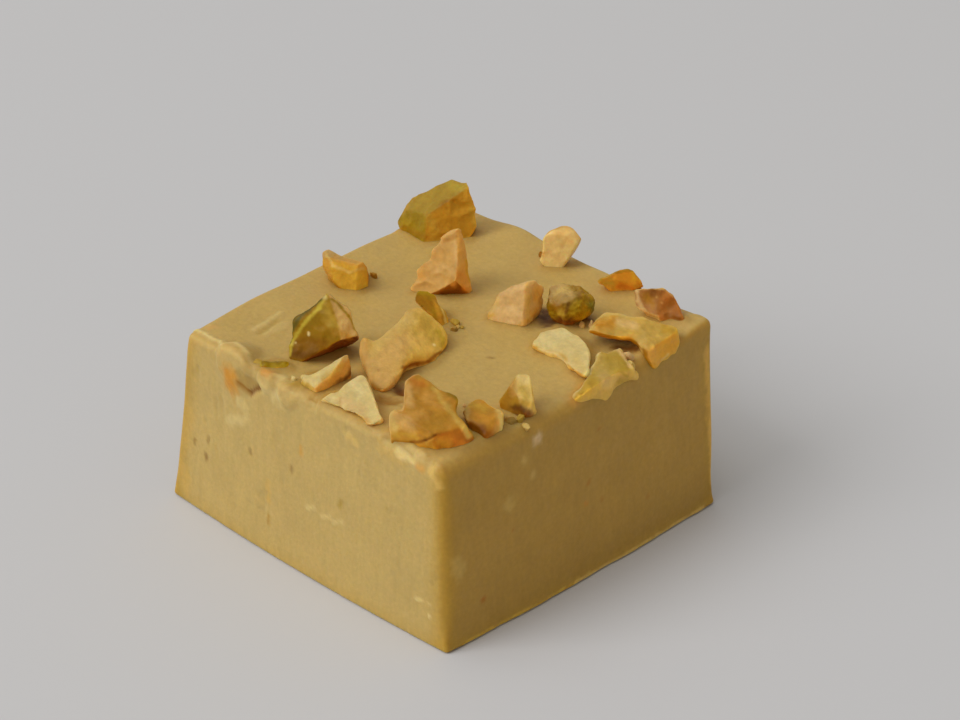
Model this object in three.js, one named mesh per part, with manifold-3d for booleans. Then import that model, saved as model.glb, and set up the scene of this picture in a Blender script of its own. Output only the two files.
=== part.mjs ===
// A cut square of nut gianduja with chopped, roasted nuts pressed into its top face.
// Millimetres, +Z up, origin at the middle of the flat base.
// +X runs along the lit front edge and +Y along the shaded one, so the front corner is at +X, -Y.

import * as THREE from "three";
import { mergeVertices } from "three/addons/utils/BufferGeometryUtils.js";
import Module from "manifold-3d";

const wasm = await Module();
wasm.setup();

// Driving dimensions of the block
const SIDE = 31;
const HEIGHT = 15.3;
const BASE_ROUNDING = 0.3;
const RIM_ROUNDING = 0.7;

// How far each knife cut leans or strays from a true square, at the base and at the top
const CORNER_OFFSETS = {
  left: { base: [0, 0.3], top: [2.2, 0.9] },
  front: { base: [-0.3, 0.4], top: [-0.9, 0.8] },
  right: { base: [0.15, -1.55], top: [-1.25, -1.05] },
  back: { base: [0.3, -0.4], top: [1.0, 0.1] },
};

// How far the middle of each side stands out of the line between its corners
const SIDE_BOWS = {
  lit: { base: 0.45, top: 0.1 },
  shaded: { base: 0.3, top: 0.1 },
  far: { base: 0.3, top: 0.35 },
  hidden: { base: 0.3, top: 0.5 },
};

// Unevenness of the poured top and of the knife-cut sides
const TOP_RIPPLE = 0.16;
const SIDE_RIPPLE = 0.1;
const TOP_DISH = 0.15;
const RIPPLE_WAVES = [
  { along: 0.37, across: 0.21, phase: 1.0, weight: 0.4 },
  { along: -0.19, across: 0.43, phase: 2.1, weight: 0.4 },
  { along: 0.71, across: -0.53, phase: 0.4, weight: 0.2 },
];
const RAISED_SPOTS = [
  { at: [13.4, 13.2], radius: 2.4, rise: 0.45 },
  { at: [-7.7, -14.0], radius: 1.3, rise: 0.3 },
  { at: [-7.0, 15.2], radius: 2.6, rise: 0.4 },
];

// Faces of the block: squares along an edge and up a side, crowded towards the edges
const GRID_ALONG = 20;
const GRID_UP = 8;
const GRID_CROWDING = 1.7;

// The nuts: how deep they are pressed in, and the air left round them in the block
const SINK = 0.9;
const GAP = 0.3;
const OVERHANG = 0.2;
const KERNEL_DETAIL = 2;
const KNIFE = 40;
const WELD = 1e-5;

// Each cut is described as it is seen from above the front corner of the block
const VIEW_AZIMUTH = THREE.MathUtils.degToRad(45);
const VIEW_ELEVATION = THREE.MathUtils.degToRad(30);

const GIANDUJA_ROUGHNESS = 0.6;
const NUT_ROUGHNESS = 0.5;
const COLOURS = {
  gianduja: 0xbb9e5d,
  cream: 0xcaa366,
  peach: 0xc6944f,
  orange: 0xb27a33,
  olive: 0x86691f,
  brown: 0x9f612a,
};

// A nut is one or more lumps. A lump has a kernel of a width, height and depth, and knife cuts.
// A cut is [clock, facing, reach]: the clock angle that its face looks to in degrees,
// counted from the right, how far it turns to the viewer, and its distance from the lump's middle.
// A scoop is a round hollow broken out of the lump: [right, up, towards the viewer, radius].
// A second lump of the same nut is offset by [right, up, towards the viewer].
const NUTS = [
  {
    name: "nut_back_chunk", colour: "orange", at: [-11.1, 10.0], up: 2.0,
    lumps: [{
      kernel: [8.6, 7.6, 6.4],
      cuts: [[145, -15, 2.6], [110, -15, 2.4], [65, -10, 3.1], [15, -5, 2.8], [330, 0, 3.2],
        [180, -10, 3.4], [300, 70, 0.7], [190, 40, 1.3], [125, 40, 0.9], [90, -70, 2.2]],
    }],
  },
  {
    name: "nut_tall_wedge", colour: "peach", at: [-3.6, 3.3], up: 2.0,
    lumps: [{
      kernel: [6.4, 9, 5],
      cuts: [[140, -15, 1.2], [13, -10, 2], [85, -20, 3], [185, 55, 0], [350, 35, 1.2],
        [275, 30, 1], [90, -60, 2.3]],
    }],
  },
  {
    name: "nut_left_cube", colour: "orange", at: [-10.4, -0.8], up: 1.0,
    lumps: [{
      kernel: [5, 4.8, 4.8],
      cuts: [[117, -10, 2], [67, -10, 0.95], [6, 0, 1.65], [185, -5, 1.6], [217, 10, 1.25],
        [245, 60, 1.1], [330, 40, 1.6], [80, 35, 1.6]],
    }],
  },
  {
    name: "nut_green_wedge", colour: "olive", at: [-3.2, -9.5], up: 1.8,
    lumps: [{
      kernel: [6.8, 6.8, 5],
      cuts: [[174, -10, 2.6], [153, -10, 2], [127, -15, 1.85], [56, -15, 2.2], [26, -10, 2.1],
        [200, 72, 0.9], [15, 45, 1.7], [295, 10, 1.25], [90, -65, 1.8]],
    }],
  },
  {
    name: "nut_centre_lump", colour: "cream", at: [2.0, -6.4], up: 1.2,
    lumps: [
      {
        offset: [0, 0, -2.2], kernel: [8.8, 9.2, 6.8],
        cuts: [[140, -15, 1.45], [94, -20, 3.05], [52, -15, 3.2], [15, -10, 3.3], [319, -5, 2.25],
          [288, 0, 1.9], [180, 0, 2.3], [40, 55, 1.6], [95, 45, 1.9]],
      },
      {
        offset: [-1.6, -1.2, 0.7], kernel: [4, 5.4, 4.6],
        cuts: [[112, -10, 2], [187, 0, 1.35], [204, 0, 1.2], [270, 0, 2.1], [332, 0, 1.6],
          [100, 50, 0.65]],
      },
    ],
  },
  {
    name: "nut_centre_sliver", colour: "olive", at: [-1.7, 0.1], up: 0.8,
    lumps: [{
      kernel: [3.8, 4, 2.8],
      cuts: [[167, -5, 1.35], [94, -10, 1.5], [28, -10, 0.75], [355, 0, 1.45], [228, 0, 0.5],
        [60, 40, 0.6], [90, -60, 0.9]],
    }],
  },
  {
    name: "nut_left_shaving", colour: "cream", at: [0.4, -12.6], up: 0.6,
    lumps: [{
      kernel: [5, 4.6, 5],
      cuts: [[328, 35, 0.45], [110, -5, 0.85], [127, -5, 0.8], [120, 40, 0.55], [97, -10, 1.5],
        [215, 30, 1.5], [40, -30, 1.9]],
    }],
  },
  {
    name: "nut_pale_chip", colour: "cream", at: [3.7, -13.1], up: 0.4,
    lumps: [{
      kernel: [6, 5, 4.4],
      cuts: [[125, -5, 1.3], [59, -5, 1.9], [25, 0, 1.5], [333, 10, 2.5], [283, 20, 2.1],
        [240, 10, 1.1], [100, 45, 0.5]],
    }],
  },
  {
    name: "nut_front_lump", colour: "orange", at: [10.4, -11.9], up: 1.2,
    lumps: [
      {
        offset: [0.4, -0.7, 0.9], kernel: [9, 5.6, 5],
        cuts: [[182, 0, 3.15], [268, 10, 1.9], [340, 0, 3.7], [35, -5, 1.9], [120, 0, 2.1],
          [80, 45, 0.9], [215, 50, 1.5], [320, 50, 1.4]],
      },
      {
        offset: [-0.6, 1.3, -0.4], kernel: [4.6, 6, 5],
        cuts: [[180, 0, 1.2], [115, -10, 1.6], [69, -15, 1.45], [35, -5, 1.3], [80, 45, 0.6]],
      },
    ],
  },
  {
    name: "nut_front_bit", colour: "orange", at: [12.4, -8.4], up: 0.6,
    lumps: [{
      kernel: [3.4, 3.4, 3.4],
      cuts: [[143, -5, 1.5], [85, -10, 1.4], [47, -10, 1], [9, 0, 1.25], [319, 10, 1.45],
        [278, 20, 1.35], [210, 0, 1.15], [90, 45, 0.6], [280, 60, 0.75]],
    }],
  },
  {
    name: "nut_upright_chip", colour: "peach", at: [12.6, -5.1], up: 1.0,
    lumps: [{
      kernel: [3.4, 4.2, 2.8],
      cuts: [[145, 0, 1], [98, -10, 1.6], [9, 0, 1.1], [315, 10, 1.65], [252, 10, 1.35],
        [60, 60, 0.6], [200, 50, 0.5], [285, 50, 0.6]],
    }],
  },
  {
    name: "nut_cream_wedge", colour: "cream", at: [3.2, 4.4], up: 1.2,
    lumps: [{
      kernel: [5.8, 5, 4.2],
      cuts: [[151, -10, 1.5], [131, -10, 1.3], [102, -15, 1.5], [69, -10, 2.2], [357, 0, 1.95],
        [324, 10, 1.5], [255, 10, 1.55], [200, 60, 0.7], [345, 40, 1.1]],
    }],
  },
  {
    name: "nut_green_round", colour: "olive", at: [5.9, 7.5], up: 1.3,
    lumps: [{
      kernel: [3.8, 3.6, 3.6],
      cuts: [[125, 35, 1.3], [290, 0, 1.5]],
    }],
  },
  {
    name: "nut_pale_flake", colour: "cream", at: [9.3, 3.1], up: 0.4,
    lumps: [{
      kernel: [5.4, 5.2, 5.6],
      cuts: [[153, 0, 2.05], [105, -5, 1.75], [63, -5, 1.6], [36, 0, 1.5], [347, 5, 2],
        [264, 10, 1.9], [240, 10, 1.05], [100, 35, 0.4]],
      scoops: [[-2.8, -2.1, 3.7, 4.2]],
    }],
  },
  {
    name: "nut_rim_flake", colour: "olive", at: [13.8, 3.2], up: 0.2,
    lumps: [{
      kernel: [5.4, 5, 5.4],
      cuts: [[153, 0, 1.3], [100, -5, 1.45], [38, 0, 1.7], [80, 35, 0.3], [333, 38, 0.75]],
    }],
  },
  {
    name: "nut_butterfly", colour: "peach", at: [12.4, 8.2], up: 0.8,
    lumps: [
      {
        offset: [-1.6, 0.6, -0.4], kernel: [5, 3, 3.8],
        cuts: [[139, 0, 1.45], [80, -5, 1], [250, 10, 1.25], [85, 40, 0.5], [270, -30, 0.6]],
      },
      {
        offset: [1.4, -0.5, 0.4], kernel: [4.2, 4, 4],
        cuts: [[75, -5, 1.4], [18, 0, 1.6], [322, 5, 1.7], [270, 0, 2.2], [193, 0, 1.5],
          [85, 40, 0.6]],
      },
    ],
  },
  {
    name: "nut_red_chunk", colour: "brown", at: [11.0, 12.1], up: 1.2,
    lumps: [{
      kernel: [4.4, 3.6, 3.4],
      cuts: [[117, -5, 1.65], [90, -15, 1.2], [53, -10, 1.15], [18, 0, 1.35], [263, 10, 1.15],
        [234, 10, 1], [330, 55, 0.7], [190, 45, 0.9]],
    }],
  },
  {
    name: "nut_right_sliver", colour: "orange", at: [5.7, 13.7], up: 0.8,
    lumps: [{
      kernel: [4, 2.4, 2.8],
      cuts: [[120, -5, 0.8], [103, -10, 0.7], [37, 0, 1.1], [293, 10, 1.1], [280, 60, 0.5]],
    }],
  },
  {
    name: "nut_back_flake", colour: "peach", at: [-0.8, 13.2], up: 1.6,
    lumps: [{
      kernel: [4.2, 4.2, 2.6],
      cuts: [[151, -5, 1.05], [114, -5, 1.3], [79, -10, 1.6], [37, -5, 1.75], [327, 5, 1.25],
        [260, 65, 0.6], [90, -65, 0.9]],
    }],
  },
  {
    name: "nut_left_sliver", colour: "brown", at: [-4.5, -13.3], up: 0.1,
    lumps: [{
      kernel: [2.4, 1.8, 2.4],
      cuts: [[95, -5, 0.5], [80, 40, 0.4], [275, 40, 0.4]],
    }],
  },
];

// Directions of the viewed frame: right, up in the picture, towards the viewer
function viewedFrame() {
  const [sa, ca] = [Math.sin(VIEW_AZIMUTH), Math.cos(VIEW_AZIMUTH)];
  const [se, ce] = [Math.sin(VIEW_ELEVATION), Math.cos(VIEW_ELEVATION)];
  const right = new THREE.Vector3(ca, sa, 0);
  const up = new THREE.Vector3(-sa * se, ca * se, ce);
  const viewer = new THREE.Vector3(sa * ce, -ca * ce, se);
  return new THREE.Matrix4().makeBasis(right, up, viewer);
}

const VIEWED = viewedFrame();
const VIEWED_TURN = new THREE.Quaternion().setFromRotationMatrix(VIEWED);

function solidOf(geometry) {
  const bare = geometry.clone();
  bare.deleteAttribute("normal");
  bare.deleteAttribute("uv");
  const merged = mergeVertices(bare, WELD);
  return new wasm.Manifold(new wasm.Mesh({
    numProp: 3,
    vertProperties: new Float32Array(merged.attributes.position.array),
    triVerts: new Uint32Array(merged.index.array),
  }));
}

function geometryOf(solid) {
  const mesh = solid.getMesh();
  const geometry = new THREE.BufferGeometry();
  geometry.setAttribute("position", new THREE.BufferAttribute(mesh.vertProperties, 3));
  geometry.setIndex(new THREE.BufferAttribute(mesh.triVerts, 1));
  geometry.computeVertexNormals();
  return geometry;
}

// The unit normal of a cut in the viewed frame
function cutNormal(clockDegrees, facingDegrees) {
  const clock = THREE.MathUtils.degToRad(clockDegrees);
  const facing = THREE.MathUtils.degToRad(facingDegrees);
  const flat = Math.cos(facing);
  return new THREE.Vector3(Math.cos(clock) * flat, Math.sin(clock) * flat, Math.sin(facing));
}

// Takes away everything that lies further than reach along the normal
function slice(solid, normal, reach) {
  const waste = new THREE.BoxGeometry(KNIFE, KNIFE, KNIFE);
  waste.translate(0, 0, KNIFE / 2 + reach);
  waste.applyQuaternion(new THREE.Quaternion().setFromUnitVectors(new THREE.Vector3(0, 0, 1), normal));
  return solid.subtract(solidOf(waste));
}

// One lump of a nut in the viewed frame, grown all round by a margin
function lumpSolid({ offset = [0, 0, 0], kernel, cuts, scoops = [] }, margin) {
  const geometry = new THREE.IcosahedronGeometry(1, KERNEL_DETAIL);
  geometry.scale(...kernel.map((size) => size / 2 + margin));
  let solid = solidOf(geometry);
  for (const [clock, facing, reach] of cuts) {
    solid = slice(solid, cutNormal(clock, facing), reach + margin);
  }
  for (const [right, up, towards, radius] of scoops) {
    const ball = new THREE.IcosahedronGeometry(radius - margin, KERNEL_DETAIL);
    solid = solid.subtract(solidOf(ball).translate([right, up, towards]));
  }
  return solid.translate(offset);
}

// The four sides of the top face: a corner on each and the level direction out of it
function topSides() {
  const square = { left: [-1, -1], front: [1, -1], right: [1, 1], back: [-1, 1] };
  const corners = Object.entries(square).map(([name, signs]) => {
    const [x, y] = CORNER_OFFSETS[name].top;
    return new THREE.Vector2(signs[0] * SIDE / 2 + x, signs[1] * SIDE / 2 + y);
  });
  return corners.map((corner, i) => {
    const along = corners[(i + 1) % corners.length].clone().sub(corner).normalize();
    return { corner, outward: new THREE.Vector2(along.y, -along.x) };
  });
}

// A whole nut in the viewed frame, with the flat underside that it is pressed down on,
// and trimmed where the cuts that made the block's sides ran through it
function nutSolid(nut, margin) {
  let solid = null;
  for (const lump of nut.lumps) {
    const next = lumpSolid(lump, margin);
    solid = solid ? solid.add(next) : next;
  }
  const toViewed = VIEWED_TURN.clone().invert();
  const down = new THREE.Vector3(0, 0, -1).applyQuaternion(toViewed);
  solid = slice(solid, down, nut.up + SINK + margin);
  const middle = new THREE.Vector2(...nut.at);
  for (const { corner, outward } of topSides()) {
    const side = new THREE.Vector3(outward.x, outward.y, 0).applyQuaternion(toViewed);
    const reach = corner.clone().sub(middle).dot(outward) + OVERHANG;
    solid = slice(solid, side, reach + margin);
  }
  return solid;
}

// A slow, irregular wave over a face
function ripple(a, b) {
  let sum = 0;
  for (const { along, across, phase, weight } of RIPPLE_WAVES) {
    sum += weight * Math.sin(along * a + across * b + phase);
  }
  return sum;
}

// Height of the top face above or below its level
function topRelief(x, y) {
  const inward = (1 - (2 * x / SIDE) ** 2) * (1 - (2 * y / SIDE) ** 2);
  let relief = TOP_RIPPLE * ripple(x, y) - TOP_DISH * inward;
  for (const { at, radius, rise } of RAISED_SPOTS) {
    const distance = Math.hypot(x - at[0], y - at[1]) / radius;
    relief += rise * Math.exp(-distance * distance);
  }
  return relief;
}

// Moves a point of the true square block to the leaning, rounded, uneven one
function shapeBlockPoint(point) {
  const half = new THREE.Vector3(SIDE / 2, SIDE / 2, HEIGHT / 2);
  const spread = (u) => Math.sign(u) * (1 - (1 - Math.abs(u)) ** GRID_CROWDING);
  point.set(spread(point.x), spread(point.y), spread(point.z)).multiply(half);

  const height = point.z / HEIGHT + 0.5;
  const rounding = THREE.MathUtils.lerp(BASE_ROUNDING, RIM_ROUNDING, height);
  const core = half.clone().subScalar(rounding);
  const inner = point.clone().clamp(core.clone().negate(), core);
  const outward = point.clone().sub(inner);
  if (outward.lengthSq() > 0) {
    point.copy(inner).addScaledVector(outward.normalize(), rounding);
  }

  const [right, away, rise] = [point.x / SIDE + 0.5, point.y / SIDE + 0.5, point.z / HEIGHT + 0.5];
  const weights = {
    left: (1 - right) * (1 - away),
    front: right * (1 - away),
    right: right * away,
    back: (1 - right) * away,
  };
  const moved = new THREE.Vector3(point.x, point.y, rise * HEIGHT);
  for (const [corner, weight] of Object.entries(weights)) {
    const { base, top } = CORNER_OFFSETS[corner];
    moved.x += weight * THREE.MathUtils.lerp(base[0], top[0], rise);
    moved.y += weight * THREE.MathUtils.lerp(base[1], top[1], rise);
  }
  const bow = ({ base, top }) => THREE.MathUtils.lerp(base, top, rise);
  const [alongX, alongY] = [4 * right * (1 - right), 4 * away * (1 - away)];
  moved.x += alongY * (right * bow(SIDE_BOWS.shaded) - (1 - right) * bow(SIDE_BOWS.hidden));
  moved.y += alongX * (away * bow(SIDE_BOWS.far) - (1 - away) * bow(SIDE_BOWS.lit));
  const bulge = SIDE_RIPPLE * Math.sin(Math.PI * rise);
  moved.x += bulge * ripple(moved.y, moved.z);
  moved.y += bulge * ripple(moved.z, moved.x);
  moved.z += rise * topRelief(moved.x, moved.y);
  return point.copy(moved);
}

function blockSolid() {
  const geometry = new THREE.BoxGeometry(2, 2, 2, GRID_ALONG, GRID_ALONG, GRID_UP);
  const places = geometry.attributes.position;
  const point = new THREE.Vector3();
  for (let i = 0; i < places.count; i += 1) {
    point.fromBufferAttribute(places, i);
    shapeBlockPoint(point);
    places.setXYZ(i, point.x, point.y, point.z);
  }
  let solid = solidOf(geometry);
  for (const nut of NUTS) {
    const place = new THREE.Matrix4().makeTranslation(nut.at[0], nut.at[1], HEIGHT + nut.up);
    const grown = nutSolid(nut, GAP).transform(place.multiply(VIEWED).toArray());
    solid = solid.subtract(grown);
  }
  return solid;
}

function named(name, solid, colour, roughness) {
  const material = new THREE.MeshStandardMaterial({ color: COLOURS[colour], roughness, metalness: 0 });
  const mesh = new THREE.Mesh(geometryOf(solid), material);
  mesh.name = name;
  return mesh;
}

const gianduja = new THREE.Group();
gianduja.add(named("gianduja_block", blockSolid(), "gianduja", GIANDUJA_ROUGHNESS));

const topping = new THREE.Group();
topping.position.z = HEIGHT;
for (const nut of NUTS) {
  const mesh = named(nut.name, nutSolid(nut, 0), nut.colour, NUT_ROUGHNESS);
  mesh.position.set(nut.at[0], nut.at[1], nut.up);
  mesh.quaternion.copy(VIEWED_TURN);
  topping.add(mesh);
}
gianduja.add(topping);

export default gianduja;
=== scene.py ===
"""Looks of a cut square of nut gianduja with chopped, roasted nuts pressed into its top face.

Shapes are worked out in millimetres and become metres when a piece is made.
The lit side is at -Y and the shaded side at +X, so the front corner is at +X, -Y.
"""

import itertools
import math

import bmesh
import bpy
import numpy as np
from mathutils import Matrix, Vector
from mathutils.kdtree import KDTree


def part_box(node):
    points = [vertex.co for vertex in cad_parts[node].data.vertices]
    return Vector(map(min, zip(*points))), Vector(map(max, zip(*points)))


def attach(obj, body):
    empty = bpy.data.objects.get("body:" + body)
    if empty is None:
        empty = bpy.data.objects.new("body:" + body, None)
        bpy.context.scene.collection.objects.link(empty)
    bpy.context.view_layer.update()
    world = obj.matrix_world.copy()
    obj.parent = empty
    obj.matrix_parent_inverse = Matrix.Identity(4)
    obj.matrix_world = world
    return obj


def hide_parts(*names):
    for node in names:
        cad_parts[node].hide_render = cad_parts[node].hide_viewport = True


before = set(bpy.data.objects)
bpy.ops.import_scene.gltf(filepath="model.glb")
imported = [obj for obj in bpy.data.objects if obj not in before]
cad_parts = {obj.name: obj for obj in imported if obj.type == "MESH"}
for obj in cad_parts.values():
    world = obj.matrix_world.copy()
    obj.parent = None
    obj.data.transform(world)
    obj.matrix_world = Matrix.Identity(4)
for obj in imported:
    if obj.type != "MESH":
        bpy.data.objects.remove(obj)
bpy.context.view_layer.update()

MM = 0.001

# The block, with the same driving sizes as its solid
SIDE = 31.0
HEIGHT = 15.3
HALF = np.array([SIDE / 2, SIDE / 2, HEIGHT / 2])
CORNER_OFFSETS = {
    (-1, -1): {"base": (0, 0.3), "top": (2.2, 0.9)},
    (1, -1): {"base": (-0.3, 0.4), "top": (-0.9, 0.8)},
    (1, 1): {"base": (0.15, -1.55), "top": (-1.25, -1.05)},
    (-1, 1): {"base": (0.3, -0.4), "top": (1.0, 0.1)},
}
SIDE_BOWS = {"lit": (0.45, 0.1), "shaded": (0.3, 0.1), "far": (0.3, 0.35), "hidden": (0.3, 0.5)}
TOP_RIPPLE = 0.16
SIDE_RIPPLE = 0.1
TOP_DISH = 0.15
RIPPLE_WAVES = ((0.37, 0.21, 1.0, 0.4), (-0.19, 0.43, 2.1, 0.4), (0.71, -0.53, 0.4, 0.2))
RAISED_SPOTS = (((13.4, 13.2), 2.4, 0.45), ((-7.7, -14.0), 1.3, 0.3), ((-7.0, 15.2), 2.6, 0.4))

# Roundings of the edges: base, standing edges, and the rim on each side
BASE_ROUNDING = 0.3
EDGE_ROUNDING = 0.6
FRONT_ROUNDING = 1.1
RIM_ROUNDING = {"shaded": 1.3, "hidden": 0.6, "lit": 0.5, "far": 0.6}
RIM_ROUNDING_RIGHT = 0.45
RIM_ZONE = 3.0

# Squares of the block's fine mesh along an edge and up a side, crowded towards the edges
BLOCK_ALONG = 152
BLOCK_UP = 78
BLOCK_CROWDING = 1.2

# Fine relief of the block: lines and pits of the cut, grain of the top, chips of the rim, burr of the base
DRAG_SIZE = np.array([0.5, 0.5, 4.0])
DRAG_DEPTH = 0.03
DRAG_ELSEWHERE = 0.4
PIT_SIZE = np.array([0.7, 0.7, 1.2])
PIT_DEPTH = 0.07
PIT_EDGE = (0.35, 0.7)
TOP_SIZE = 2.5
TOP_DEPTH = 0.03
CHIP_SIZE = np.array([1.1, 3.0, 3.0])
CHIP_DEPTH = 0.3
CHIP_EDGE = (0.05, 0.6)
CHIP_REACH = 0.7
LUMP_RAGGED = 0.1
LUMP_EDGE = (-1.05, -0.6)
BURR_SIZE = 1.5
BURR_REACH = 0.25
BURR_WIDTH = 0.35
BURR_RISE = 0.015
BLOCK_SEEDS = {"drag": 11, "pits": 21, "top": 31, "chips": 41, "burr": 51, "right": 61, "up": 66, "lumps": 81}
MENISCUS_RISE = 0.2
MENISCUS_WIDTH = 0.4

# Painted contact shade around each nut: the share of the gianduja's colour that is left, and how far the
# shade reaches
CONTACT_SHADE = np.array([0.85, 0.76, 0.6])
CONTACT_SHADE_WIDTH = 0.5

# Shares of other colours in the gianduja's, and their widths
DRAG_TINT = 0.03
PIT_TINT = 0.04
# Ochre near the standing edges and along the base: a painted glow of light through the translucent edges,
# partly a fat smear on them
EDGE_SMEAR_AND_GLOW = 0.8
EDGE_SMEAR_AND_GLOW_WIDTH = 1.3
BASE_SMEAR_AND_GLOW = 0.35
BASE_SMEAR_AND_GLOW_WIDTH = 0.9
MOST_SMEAR_AND_GLOW = 0.8
# The shaded side is painted darker towards its base
SHADED_FALL = 0.1
SHADED_FALL_RISE = 0.45

# How far the edge of a stroke of colour wanders, as a share of its width, and over what distance
RAGGED = 0.7
RAGGED_SIZE = 0.6

# Mesh, relief and mottle of a nut
NUT_GRID = 0.1
NUT_ROUNDS = 5
BLENDED_ROUNDS = 20
FILLED = 0.4
EDGE_ROUNDS = 12
NUT_WAVE = 0.15
NUT_WAVE_SIZE = 1.5
NUT_BREAK = 0.2
NUT_BREAK_SIZE = 1.2
NUT_GRAIN = 0.03
NUT_GRAIN_SIZE = 0.4
NUT_CHIP = 0.2
NUT_CHIP_SIZE = 0.8
NUT_SHARPNESS = 9
NUT_MOTTLE = 0.1
NUT_SEEDS = {"mottle": 9, "right": 15, "up": 16, "wave": 20, "grain": 30, "chips": 40, "breaks": 50}

# Sharp edges of a nut: how far they stand out, and how they are paler than its faces, partly as broken edges
# and partly as a painted highlight
EDGE_STANDS = (0.02, 0.09)
EDGE_PALER = 1.4
EDGE_PALEST = 0.8
EDGE_SHARE = 0.6

# Crumbs: how many faces are broken off one, how far out, its roughness and its mottle
CRUMB_FACES = 9
CRUMB_CUTS = (0.45, 0.8)
CRUMB_ROUGH = 0.25
CRUMB_MOTTLE = 0.15

# Grain in a finish: layers of detail, and the values that count as its lowest and highest
GRAIN_DETAIL = 3
GRAIN_LOW = 0.3
GRAIN_HIGH = 0.7

# The photograph's camera
CAMERA_AT = Vector((127.32, -124.19, 113.6)) * MM
CAMERA_AZIMUTH = 44.887
CAMERA_ELEVATION = 29.678
CAMERA_LENS = 100
CAMERA_SENSOR = 36

# Directions of the picture, in which the nuts' colours are described
PICTURE_AZIMUTH = math.radians(45)
PICTURE_ELEVATION = math.radians(30)

# Light
LIGHTS = {
    "window": {"from": Vector((-0.3, -0.7, 0.62)).normalized(), "distance": 2, "size": 1.2, "power": 19},
    "ceiling": {"from": Vector((-0.2, -0.25, 1)).normalized(), "distance": 1.8, "size": 1.4, "power": 9.2},
}
SKY_COLOUR = (1.04, 1.0, 0.93)
SKY_STRENGTH = 0.36
FLOOR_SIZE = 6
FLOOR_ROUGHNESS = 0.7

# Light on a face of the part, as a share of the light on its level top
SKY_SHARE = 0.4
FLOOR_SHARE = 0.45
LIGHT_SHARES = {"window": 0.523, "ceiling": 0.284}
EXPOSURE = np.array([0.90, 0.86, 0.87])
PALEST = 0.97


def tone(red, green, blue):
    """Linear colour of screen values from 0 to 255."""
    screen = np.array([red, green, blue]) / 255
    return np.where(screen <= 0.04045, screen / 12.92, ((screen + 0.055) / 1.055) ** 2.4)


# Own colours of the floor and of the gianduja, then painted light: the shaded side's deeper painted shade,
# and the ochre of a painted glow through the edges, which is partly a fat smear
FLOOR = tone(202, 202, 204)
GIANDUJA = tone(192, 160, 89)
SCRAPED = tone(199, 169, 99)
PAINTED_SHADE_TONE = tone(191, 149, 63)
SMEAR_AND_GLOW_OCHRE = tone(190, 148, 42)

# Colours of nuts, crumbs and marks as the photograph shows them in its light
IVORY = tone(216, 192, 132)
CREAM = tone(208, 180, 116)
STRAW = tone(204, 168, 92)
BLUSH = tone(206, 166, 108)
SHELL = tone(238, 200, 128)
PEACH = tone(200, 154, 86)
APRICOT = tone(202, 148, 70)
HONEY = tone(192, 146, 48)
MUSTARD = tone(178, 132, 30)
GOLD = tone(190, 149, 66)
CARAMEL = tone(186, 136, 62)
TOFFEE = tone(172, 118, 34)
ORANGE = tone(192, 130, 36)
EMBER = tone(172, 94, 22)
AMBER = tone(162, 114, 28)
ROAST = tone(146, 94, 6)
UMBER = tone(140, 100, 4)
BROWN = tone(116, 64, 2)
BARK = tone(88, 44, 6)
SOOT = tone(60, 24, 3)
OLIVE = tone(168, 132, 44)
LEAF = tone(186, 160, 52)
LIME = tone(152, 120, 14)
MOSS = tone(128, 96, 8)
FERN = tone(94, 80, 18)
TAUPE = tone(180, 142, 82)
KHAKI = tone(158, 122, 54)
RUST = tone(152, 95, 40)
BRICK = tone(140, 78, 12)
SPECK = tone(138, 102, 46)
CHALK = tone(156, 132, 100)
BUFF = tone(184, 155, 90)
SCRATCH = tone(204, 178, 116)
WARM = tone(192, 152, 76)


def lattice_noise(points, seed):
    """Smooth random values from -1 to 1, one for each point, that change over a distance of about 1."""
    cell = np.floor(points).astype(np.int64)
    part = points - cell
    fade = part * part * (3 - 2 * part)
    total = np.zeros(len(points))
    for corner in itertools.product((0, 1), repeat=3):
        spot = (cell + np.array(corner) + 1000 * seed) * np.array([73856093, 19349663, 83492791])
        mixed = (spot[:, 0] ^ spot[:, 1] ^ spot[:, 2]) & 0x7FFFFFFF
        mixed = ((mixed ^ (mixed >> 13)) * 1274126177) & 0x7FFFFFFF
        value = ((mixed ^ (mixed >> 16)) & 0xFFFF) / 32767.5 - 1
        weight = np.prod(np.where(np.array(corner) == 1, fade, 1 - fade), axis=1)
        total += weight * value
    return total


def fractal(points, size, seed, layers=3):
    """Noise of a size in millimetres, or of a size along each axis, with finer layers on top."""
    total = np.zeros(len(points))
    for layer in range(layers):
        total += lattice_noise(points / size * 2 ** layer, seed + layer) / 2 ** layer
    return total / (2 - 2 ** (1 - layers))


def ramp(value, start, end):
    """Rises smoothly from 0 at start to 1 at end."""
    part = np.clip((value - start) / (end - start), 0, 1)
    return part * part * (3 - 2 * part)


def blend(first, second, share):
    """Mixes colours, with one share for each point."""
    return first + (second - first) * np.reshape(share, (-1, 1))


def stroke(places, start, end, width):
    """How strongly flat places are covered by a soft stroke between two of them."""
    start, end = np.array(start), np.array(end)
    along = end - start
    length = max(along @ along, 1e-9)
    part = np.clip((places - start) @ along / length, 0, 1)
    gap = np.linalg.norm(places - start - part[:, None] * along, axis=1)
    return ramp(-gap, -1.2 * width, -0.1 * width)


def wander(points, seeds, first=0):
    """How far the edges of strokes wander at each point, along and up."""
    return np.column_stack([fractal(points, RAGGED_SIZE, first + seeds[way]) for way in ("right", "up")])


def daylight(normals):
    """Light that falls on faces in the photograph, as a share of the light on the level top."""
    up = normals[:, 2]
    total = SKY_SHARE * (1 + up) / 2 + FLOOR_SHARE * (1 - up) / 2
    for name, share in LIGHT_SHARES.items():
        total += share * np.maximum(normals @ np.array(LIGHTS[name]["from"]), 0)
    return total


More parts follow.
